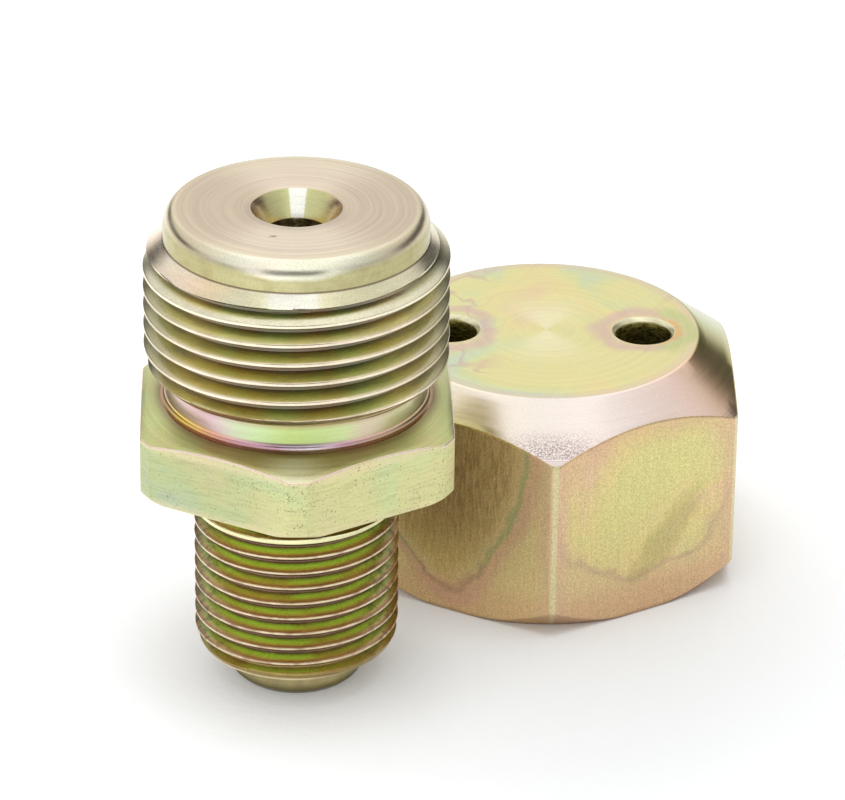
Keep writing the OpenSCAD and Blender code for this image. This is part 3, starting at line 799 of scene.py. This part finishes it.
def body_piece():
    zones = {
        "foot": zinc("zinc_foot", paint_foot, rough=0.30, depth=0.3),
        "spigot_thread": zinc("zinc_spigot", paint_spigot, rough=0.26, scale=4.0, depth=0.12, shade=0.14,
                              speck=0.12, along=2.2),
        "undercut": zinc("zinc_undercut", paint_undercut, rough=0.32, depth=0.3),
        "hex_side": zinc("zinc_hexagon", paint_hexagon, rough=0.36, scale=1.6, depth=0.25, shade=0.06,
                         grain=0.45, speck=0.08, pits=0.7),
        "hex_edge": zinc("zinc_hexagon_edge", paint_hexagon_edge, rough=0.25, depth=0.1, shade=0.05),
        "hex_cone": zinc("zinc_shoulder", paint_shoulder, rough=0.36, marks="face", scale=3.6, depth=0.5,
                         shade=0.15, spread=0.4),
        "neck": zinc("zinc_neck", paint_neck, rough=0.22, scale=4.0, depth=0.12, shade=0.09, speck=0.06),
        "head_thread": zinc("zinc_head", paint_head, rough=0.21, scale=4.5, depth=0.14, shade=0.16,
                            speck=0.12, along=2.2),
        "boss": zinc("zinc_boss", paint_boss, rough=0.25, scale=4.5, depth=0.14, shade=0.12, speck=0.12),
        "face": zinc("zinc_face", paint_face, rough=0.32, marks="face", scale=3.8, depth=0.6, shade=0.16,
                     speck=0.06, spread=0.5),
        "seat": zinc("zinc_seat", paint_seat, rough=0.26, scale=3.0, depth=0.2, shade=0.10),
        "bore": zinc("zinc_bore", paint_bore, rough=0.60, scale=3.0, depth=0.5, shade=0.2),
    }
    no = {n: i for i, n in enumerate(zones)}
    skin = Skin(columns(HEX_TURN, [0, 1.3, 2.5, 3.0, 3.4, 4.0, 5.0], 1.7))
    a = skin.a

    # Foot, pilot and the spigot's end face
    low_ring = spigot_radius(np.full_like(a, end_z), a)
    skin.turned([(BORE_R, 0.0), (PILOT_R - PILOT_EDGE, 0.0), (PILOT_R - 0.12, PILOT_EDGE - 0.14),
                 (PILOT_R, PILOT_EDGE), (PILOT_R, end_z - 0.15)]
                + arc(PILOT_R + 0.12, end_z - 0.12, 0.12, 180, 90, 3)
                + [(low_ring - 0.2, end_z), (low_ring, end_z)], no["foot"])
    levels = groove_levels(SPIGOT_ROOT, SPIGOT_DEPTH, SPIGOT_FLANK, SPIGOT_PITCH, 0.04)
    skin.thread(end_z, relief_z, [end_z + SPIGOT_END_BEVEL[1], relief_z - SPIGOT_TOP_BEVEL], levels,
                no["spigot_thread"], SPIGOT_PITCH, spigot_front, spigot_radius)

    # Hexagon: undercut, underside, sides with turned corners, cone
    h = hexagon_radius(a, HEX_FLATS, HEX_TURN, corner_r - 0.005, 0.10)
    chamfer_r = corner_r - 0.55

    def under(r):
        return underside_z + np.maximum(0, r - chamfer_r) * 0.32 / 0.55

    def cone(r):
        return neck_z - (r - ring_r) * tan(HEX_SLOPE)

    start = np.minimum(h - EDGE, chamfer_r - 0.05)
    skin.turned([(relief_r, relief_z), (relief_r, underside_z - 0.25)]
                + arc(relief_r + 0.25, underside_z - 0.25, 0.25, 180, 90, 4)
                + [(relief_r + 2.0, underside_z), (start, underside_z)], no["undercut"])
    low = h - EDGE
    skin.turned([(start, underside_z), (low, under(low)), (h - 0.3 * EDGE, under(h) + 0.3 * EDGE),
                 (h, under(h) + EDGE)], no["hex_edge"])
    skin.turned([(h, under(h) + EDGE), (h, under(h) * 0.5 + (cone(h) - EDGE) * 0.5),
                 (h, cone(h) - EDGE * 0.8)], no["hex_side"])
    inner = h - EDGE
    skin.turned([(h, cone(h) - EDGE * 0.8), (h - 0.3 * EDGE, cone(h) - EDGE * 0.2), (inner, cone(inner))],
                no["hex_edge"])
    rim = ring_r + 0.12
    skin.turned([(inner * (1 - t) + rim * t, cone(inner * (1 - t) + rim * t)) for t in np.linspace(0, 1, 5)],
                no["hex_cone"])

    # Neck and head thread
    low_ring = head_radius(np.full_like(a, head_z), a)
    skin.turned([(rim, cone(rim)), (ring_r, neck_z + 0.02)]
                + arc(neck_r + NECK_FILLET, neck_z + NECK_FILLET, NECK_FILLET, 270, 180, 8)[1:]
                + between((neck_r, neck_z + NECK_FILLET), (neck_r, head_z - 0.2), 3)
                + arc(neck_r + 0.2, head_z - 0.2, 0.2, 180, 90, 4)[1:]
                + [(low_ring, head_z)], no["neck"])
    levels = groove_levels(HEAD_ROOT, HEAD_DEPTH, HEAD_FLANK, HEAD_PITCH, 0.05)
    skin.thread(head_z, boss_z, [head_z + HEAD_BEVEL, boss_z - LEAD_BEVEL], levels, no["head_thread"],
                HEAD_PITCH, head_z, head_radius)

    # Boss with its round shoulder, face, seat and bore
    shoulder = [(face_r + BOSS_SHOULDER * math.cos(math.radians(v)),
                 top_z - shoulder_h + shoulder_h * math.sin(math.radians(v))) for v in range(0, 85, 7)]
    skin.turned([(boss_r, boss_z)] + between((boss_r, boss_z), shoulder[0], 3) + shoulder[1:]
                + [(face_r - 0.1, top_z)], no["boss"])
    skin.turned([(face_r - 0.1, top_z)] + between((face_r - 0.1, top_z), (seat_r + 0.06, top_z), 5),
                no["face"])
    lip = SEAT_WIDTH / tan(SEAT_ANGLE / 2)
    skin.turned([(seat_r + 0.06, top_z), (seat_r, top_z - 0.03), (seat_r - 0.04, top_z - 0.07)]
                + between((seat_r - 0.04, top_z - 0.07), (BORE_R + 0.04, top_z - lip + 0.07), 4)
                + [(BORE_R, top_z - lip - 0.04)], no["seat"])
    skin.turned([(BORE_R, top_z - lip - 0.04)]
                + between((BORE_R, top_z - lip - 0.12), (BORE_R, 0.0), 5), no["bore"])
    piece = skin.build("turned_body", zones.values())
    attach(piece, "root")
    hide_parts("fitting_body")
    return piece


# Cap
def cavity_radius(z, angle):
    low, high = mouth_depth, cap_depth - undercut_length
    env = np.interp(z, [low, low + 1.2, high - 1.2, high], [cap_mouth_r, cap_core_r, cap_core_r, undercut_r])
    groove = groove_radius(z, angle, cap_thread_r, cap_core_r, HEAD_ROOT, HEAD_FLANK, HEAD_PITCH,
                           mouth_depth, 0.12)
    return np.maximum(env, groove)


def cap_piece():
    c = (CAP_X, CAP_Y)
    zones = {
        "cavity": zinc("zinc_cavity", paint_cavity, c, rough=0.36),
        "side": zinc("zinc_cap_side", paint_cap_side, c, rough=0.42, marks="drawn", scale=3.6, depth=0.4,
                     shade=0.08, grain=1.2, speck=0.30),
        "cone": zinc("zinc_cap_cone", paint_cap_cone, c, rough=0.22, marks="face", scale=3.0, depth=0.08,
                     shade=0.03, grain=0.12, speck=0.06, spread=0.2),
        "face": zinc("zinc_cap_face", paint_cap_face, c, rough=0.32, marks="face", scale=2.8, depth=0.7,
                     shade=0.07, speck=0.05, spread=0.6),
        "vent": zinc("zinc_vent", paint_vent, c, rough=0.34, scale=3.0, depth=0.6, shade=0.2),
    }
    no = {n: i for i, n in enumerate(zones)}
    skin = Skin(columns(CAP_TURN, [0, 0.5, 0.9, 1.15, 1.5, 2.2, 3.5], 1.9), c)
    a = skin.a
    h = hexagon_radius(a, CAP_FLATS, CAP_TURN, cap_corner_r, 0.10)

    def foot(r):
        return np.maximum(0, r - cap_foot_r)

    def cone(r):
        return cap_height - (r - CAP_FACE_R) * tan(CAP_SLOPE)

    # Cavity, from the mouth up to the roof
    skin.turned([(cap_mouth_r + 0.15, 0.0), (cap_mouth_r, 0.15), (cap_mouth_r, mouth_depth)],
                no["cavity"], flip=True)
    high = cap_depth - undercut_length
    half = HEAD_ROOT / 2
    rise = HEAD_DEPTH * tan(HEAD_FLANK)
    d = [0, half, half + rise * 0.5, half + rise]
    levels = [v / HEAD_PITCH for v in d] + [0.5] + [1 - v / HEAD_PITCH for v in reversed(d[1:])]
    skin.thread(mouth_depth, high, [mouth_depth + 1.2, high - 1.2], levels, no["cavity"],
                HEAD_PITCH, mouth_depth, cavity_radius, flip=True)
    skin.turned([(undercut_r, high), (undercut_r, cap_depth - 0.4), (undercut_r - 0.12, cap_depth - 0.12),
                 (undercut_r - 0.4, cap_depth)], no["cavity"], flip=True)
    vents = [(s * CAP_VENT_X, 0.0) for s in (-1, 1)]
    n = 72
    skin.plate(cap_depth, undercut_r - 0.4, [(x, y, CAP_VENT_R, n) for x, y in vents], no["cavity"], up=False)

    # Foot, sides, cone and face
    low = h - EDGE
    start = np.minimum(low, cap_foot_r - 0.05)
    inside = cap_mouth_r + 0.15
    skin.turned([(inside, 0.0), (start * 0.5 + inside * 0.5, 0.0), (start, 0.0)], no["side"])
    skin.turned([(start, 0.0), (low, foot(low)), (h - 0.3 * EDGE, foot(h) + 0.25 * EDGE), (h, foot(h) + EDGE)]
                + [(h, (foot(h) + EDGE) * (1 - t) + (cone(h) - EDGE) * t) for t in (0.33, 0.66, 1.0)]
                + [(h - 0.3 * EDGE, cone(h) - 0.1 * EDGE), (h - EDGE, cone(h - EDGE))], no["side"])
    inner = h - EDGE
    rim = CAP_FACE_R + 0.12
    skin.turned([(inner * (1 - t) + rim * t, cone(inner * (1 - t) + rim * t)) for t in np.linspace(0, 1, 6)]
                + [(CAP_FACE_R - 0.01, cap_height - 0.025), (CAP_FACE_R - 0.14, cap_height)], no["cone"])
    skin.plate(cap_height, CAP_FACE_R - 0.14, [(x, y, CAP_VENT_R + 0.37, n) for x, y in vents], no["face"])
    for x, y in vents:
        skin.tube(x, y, [(CAP_VENT_R + 0.37, cap_height), (CAP_VENT_R + 0.31, cap_height - 0.04),
                         (CAP_VENT_R + 0.05, cap_height - 0.32), (CAP_VENT_R, cap_height - 0.42),
                         (CAP_VENT_R, (cap_height + cap_depth) / 2), (CAP_VENT_R, cap_depth)], n, no["vent"])
    piece = skin.build("turned_cap", zones.values())
    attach(piece, "root")
    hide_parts("vent_cap")
    return piece


body_piece()
cap_piece()


# Floor and light
def seen_rays(t):
    """1 for rays from the camera and for reflections."""
    path = t.node("ShaderNodeLightPath").outputs
    ray = t.math("MAXIMUM", path["Is Camera Ray"], path["Is Glossy Ray"])
    return t.math("MAXIMUM", ray, path["Is Transmission Ray"])


def floor():
    bm = bmesh.new()
    bmesh.ops.create_grid(bm, x_segments=2, y_segments=2, size=3.0)
    mesh = bpy.data.meshes.new("floor")
    bm.to_mesh(mesh)
    bm.free()
    m = bpy.data.materials.new("pale_floor")
    m.use_nodes = True
    t = Nodes(m.node_tree)
    where = t.node("ShaderNodeTexCoord").outputs["Object"]
    grain = t.noise(where, 900.0, 3.0, 0.6)
    bump = t.node("ShaderNodeBump", {"Height": grain, "Strength": 1.0, "Distance": 0.00006})
    shader = t.node("ShaderNodeBsdfDiffuse", {"Color": (0.865, 0.875, 0.89, 1), "Normal": bump.outputs[0]})
    x, y, z = t.node("ShaderNodeSeparateXYZ", {"Vector": where}).outputs
    off = t.vec("LENGTH", t.join(t.math("MULTIPLY", t.math("SUBTRACT", x, 0.012), 0.75),
                                 t.math("SUBTRACT", y, 0.004)))
    lit = t.add(t.smooth(off, 0.020, 0.050, 0.0, 0.16), t.smooth(x, -0.015, 0.036, 0.22, 0.0))
    lit = t.math("MULTIPLY", lit, seen_rays(t))
    glow = t.node("ShaderNodeEmission", {"Color": (1, 1, 1, 1), "Strength": lit})
    both = t.node("ShaderNodeAddShader")
    t.put(both.inputs[0], shader.outputs[0])
    t.put(both.inputs[1], glow.outputs[0])
    out = t.node("ShaderNodeOutputMaterial")
    t.tree.links.new(both.outputs[0], out.inputs["Surface"])
    mesh.materials.append(m)
    piece = bpy.data.objects.new("floor", mesh)
    piece.location.z = -0.00002
    bpy.context.scene.collection.objects.link(piece)


def softbox(name, place, aim, width, height, power, colour=(1, 1, 1)):
    light = bpy.data.lights.new(name, "AREA")
    light.shape = "RECTANGLE"
    light.size, light.size_y = width, height
    light.energy = power
    light.color = colour
    ob = bpy.data.objects.new(name, light)
    ob.location = place
    ob.rotation_mode = "QUATERNION"
    ob.rotation_quaternion = (Vector(place) - Vector(aim)).to_track_quat("Z", "Y")
    ob.visible_glossy = False
    bpy.context.scene.collection.objects.link(ob)
    return ob


def world():
    """A white tent: bright overhead, pale at the horizon, with dark gaps low at the back and the front."""
    w = bpy.data.worlds.new("studio")
    bpy.context.scene.world = w
    w.use_nodes = True
    t = Nodes(w.node_tree)
    way = t.node("ShaderNodeTexCoord").outputs["Generated"]
    x, y, up = t.node("ShaderNodeSeparateXYZ", {"Vector": way}).outputs
    wide = t.math("ABSOLUTE", x)
    turned = t.math("ABSOLUTE", t.math("ARCTAN2", x, y))
    strip = t.add(t.smooth(wide, 0.31, 0.39, 0.20, 0.0), t.smooth(x, 0.40, 0.75, 0.94, 0.76))
    back = t.smooth(turned, 0.25, 0.45, 0.80, 0.10)
    side = t.smooth(turned, 1.20, 1.60, 0.0, 0.50)
    front = t.smooth(turned, 2.40, 2.60, 0.0, 0.50)
    low = t.add(back, side, front)
    right = t.smooth(x, -0.2, 0.2)
    foot = t.math("MULTIPLY_ADD", right, 0.15, 0.24)
    head = t.math("MULTIPLY_ADD", right, 0.13, 0.42)
    level = t.math("ADD", low, t.math("MULTIPLY", t.smooth(up, foot, head), t.math("SUBTRACT", strip, low)))
    gap = t.math("MULTIPLY", t.smooth(turned, 2.62, 2.78), t.smooth(up, 0.36, 0.50, 1.0, 0.0))
    level = t.math("ADD", level, t.math("MULTIPLY", gap, t.math("SUBTRACT", 0.06, level)))
    white = t.smooth(up, 0.04, 0.13, 1.0, 0.0)
    level = t.math("ADD", level, t.math("MULTIPLY", white, t.math("SUBTRACT", 0.95, level)))
    path = t.node("ShaderNodeLightPath").outputs
    level = t.math("ADD", level, t.math("MULTIPLY", path["Is Camera Ray"], t.math("SUBTRACT", 1.0, level)))
    sky = t.node("ShaderNodeBackground", {"Color": t.join(level, level, level), "Strength": 1.0})
    out = t.node("ShaderNodeOutputWorld")
    t.tree.links.new(sky.outputs[0], out.inputs["Surface"])


floor()
world()
softbox("top_light", (0.10, -0.05, 0.9), (0.01, 0, 0.02), 0.5, 0.5, 2.2)

bpy.context.scene.view_settings.view_transform = "Standard"
